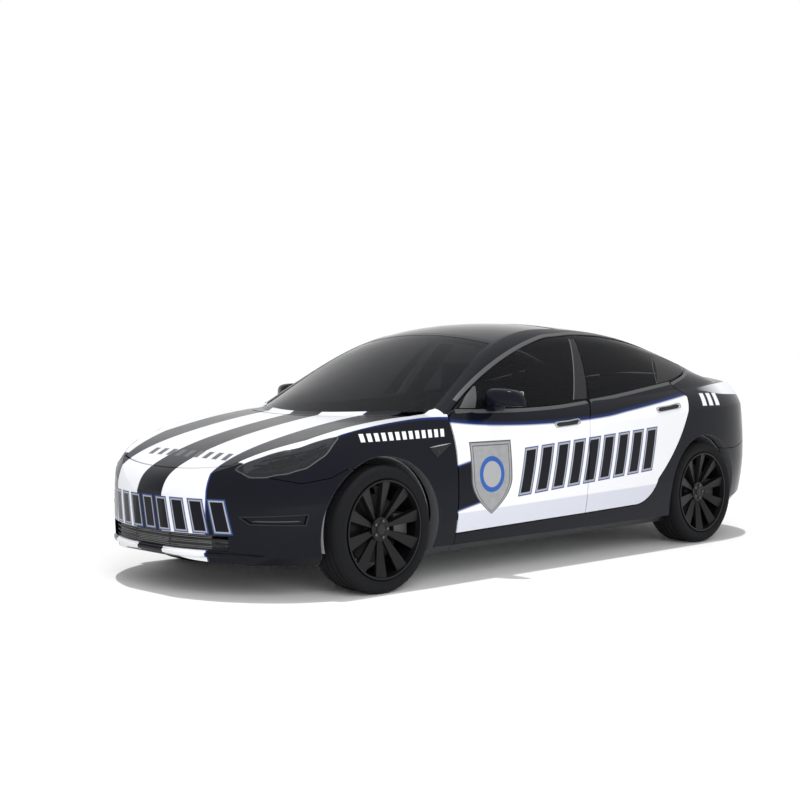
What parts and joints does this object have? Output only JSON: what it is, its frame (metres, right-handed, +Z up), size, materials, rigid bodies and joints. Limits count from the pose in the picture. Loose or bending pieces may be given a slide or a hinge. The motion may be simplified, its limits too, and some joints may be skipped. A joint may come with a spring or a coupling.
{
  "type": "police patrol car",
  "caption": "Four-door electric fastback patrol car in black and white with steered front wheels, opening doors, hood and trunk lid.",
  "frame": {"origin": "on the ground under the middle of the car's length and width", "axes": "+X forward, +Y to the car's left, +Z up"},
  "size_m": [4.694, 2.14, 1.4395],
  "materials": {
    "body_paint": "gloss black paint",
    "door_paint": "gloss white paint",
    "glass": "tinted glass",
    "lamp": "clear lamp cover",
    "red_lamp": "dark red lens",
    "trim": "textured black plastic",
    "liner": "grey fibre board",
    "tyre": "black rubber",
    "rim": "satin black coated alloy",
    "iron": "machined cast iron",
    "steel": "black dip paint",
    "seat": "black synthetic leather",
    "cabin": "soft touch plastic",
    "battery": "bare pressed aluminium"
  },
  "bodies": {
    "body": {"front_bumper": "body_paint", "rear_bumper": "body_paint", "roof_bars": "body_paint", "fender_left": "body_paint", "fender_right": "body_paint", "body_side_left": "body_paint", "body_side_right": "body_paint", "windscreen": "glass", "roof_glass": "glass", "rear_glass": "glass", "headlamps": "lamp", "tail_lamps": "red_lamp", "front_grille": "trim", "cowl_panel": "trim", "arch_liners_front": "liner", "arch_liners_rear": "liner", "underbody": "steel", "door_pillars": "steel", "front_suspension": "steel", "rear_suspension": "steel", "battery_pack": "battery", "rear_drive_unit": "battery", "rear_seat": "seat", "front_seat_left": "seat", "front_seat_right": "seat", "dashboard": "cabin", "centre_console": "cabin", "parcel_shelf": "cabin", "front_trunk": "cabin"},
    "hood": {"hood": "body_paint"},
    "trunk_lid": {"trunk_lid": "body_paint", "lid_lamps": "red_lamp"},
    "steering_wheel": {"steering_wheel": "cabin"},
    "door_front_left": {"door_front_left": "door_paint", "door_glass_front_left": "glass", "mirror_left": "body_paint"},
    "door_rear_left": {"door_rear_left": "door_paint", "door_glass_rear_left": "glass"},
    "knuckle_front_left": {"knuckle_front_left": "iron"},
    "wheel_front_left": {"tyre_front_left": "tyre", "rim_front_left": "rim"},
    "wheel_rear_left": {"tyre_rear_left": "tyre", "rim_rear_left": "rim"},
    "door_front_right": {"door_front_right": "door_paint", "door_glass_front_right": "glass", "mirror_right": "body_paint"},
    "door_rear_right": {"door_rear_right": "door_paint", "door_glass_rear_right": "glass"},
    "knuckle_front_right": {"knuckle_front_right": "iron"},
    "wheel_front_right": {"tyre_front_right": "tyre", "rim_front_right": "rim"},
    "wheel_rear_right": {"tyre_rear_right": "tyre", "rim_rear_right": "rim"}
  },
  "joints": [
    {"name": "steer_left", "type": "hinge", "parent": "body", "child": "knuckle_front_left", "pos_m": [1.506, 0.75, 0.334], "axis": [0, 0, 1], "range_deg": [-34, 34]},
    {"name": "steer_right", "type": "hinge", "parent": "body", "child": "knuckle_front_right", "pos_m": [1.506, -0.75, 0.334], "axis": [0, 0, 1], "range_deg": [-34, 34]},
    {"name": "spin_front_left", "type": "hinge", "parent": "knuckle_front_left", "child": "wheel_front_left", "pos_m": [1.506, 0.79, 0.334], "axis": [0, 1, 0], "continuous": true},
    {"name": "spin_rear_left", "type": "hinge", "parent": "body", "child": "wheel_rear_left", "pos_m": [-1.369, 0.79, 0.334], "axis": [0, 1, 0], "continuous": true},
    {"name": "spin_front_right", "type": "hinge", "parent": "knuckle_front_right", "child": "wheel_front_right", "pos_m": [1.506, -0.79, 0.334], "axis": [0, 1, 0], "continuous": true},
    {"name": "spin_rear_right", "type": "hinge", "parent": "body", "child": "wheel_rear_right", "pos_m": [-1.369, -0.79, 0.334], "axis": [0, 1, 0], "continuous": true},
    {"name": "front_door_left", "type": "hinge", "parent": "body", "child": "door_front_left", "pos_m": [0.92, 0.898, 0.47], "axis": [0, 0, -1], "range_deg": [0, 66]},
    {"name": "rear_door_left", "type": "hinge", "parent": "body", "child": "door_rear_left", "pos_m": [-0.198, 0.898, 0.47], "axis": [0, 0, -1], "range_deg": [0, 66]},
    {"name": "front_door_right", "type": "hinge", "parent": "body", "child": "door_front_right", "pos_m": [0.92, -0.898, 0.47], "axis": [0, 0, 1], "range_deg": [0, 66]},
    {"name": "rear_door_right", "type": "hinge", "parent": "body", "child": "door_rear_right", "pos_m": [-0.198, -0.898, 0.47], "axis": [0, 0, 1], "range_deg": [0, 66]},
    {"name": "hood_hinge", "type": "hinge", "parent": "body", "child": "hood", "pos_m": [1.13, 0, 0.886], "axis": [0, -1, 0], "range_deg": [0, 52]},
    {"name": "trunk_hinge", "type": "hinge", "parent": "body", "child": "trunk_lid", "pos_m": [-1.872, 0, 1.08], "axis": [0, 1, 0], "range_deg": [0, 65]},
    {"name": "steering_wheel_turn", "type": "hinge", "parent": "body", "child": "steering_wheel", "pos_m": [0.62, 0.37, 0.8], "axis": [-0.9135, 0, 0.4067], "range_deg": [-345, 345]}
  ],
  "couplings": [
    {"joint": "steer_right", "follows": "steer_left", "ratio": 1},
    {"joint": "steering_wheel_turn", "follows": "steer_left", "ratio": 10}
  ]
}
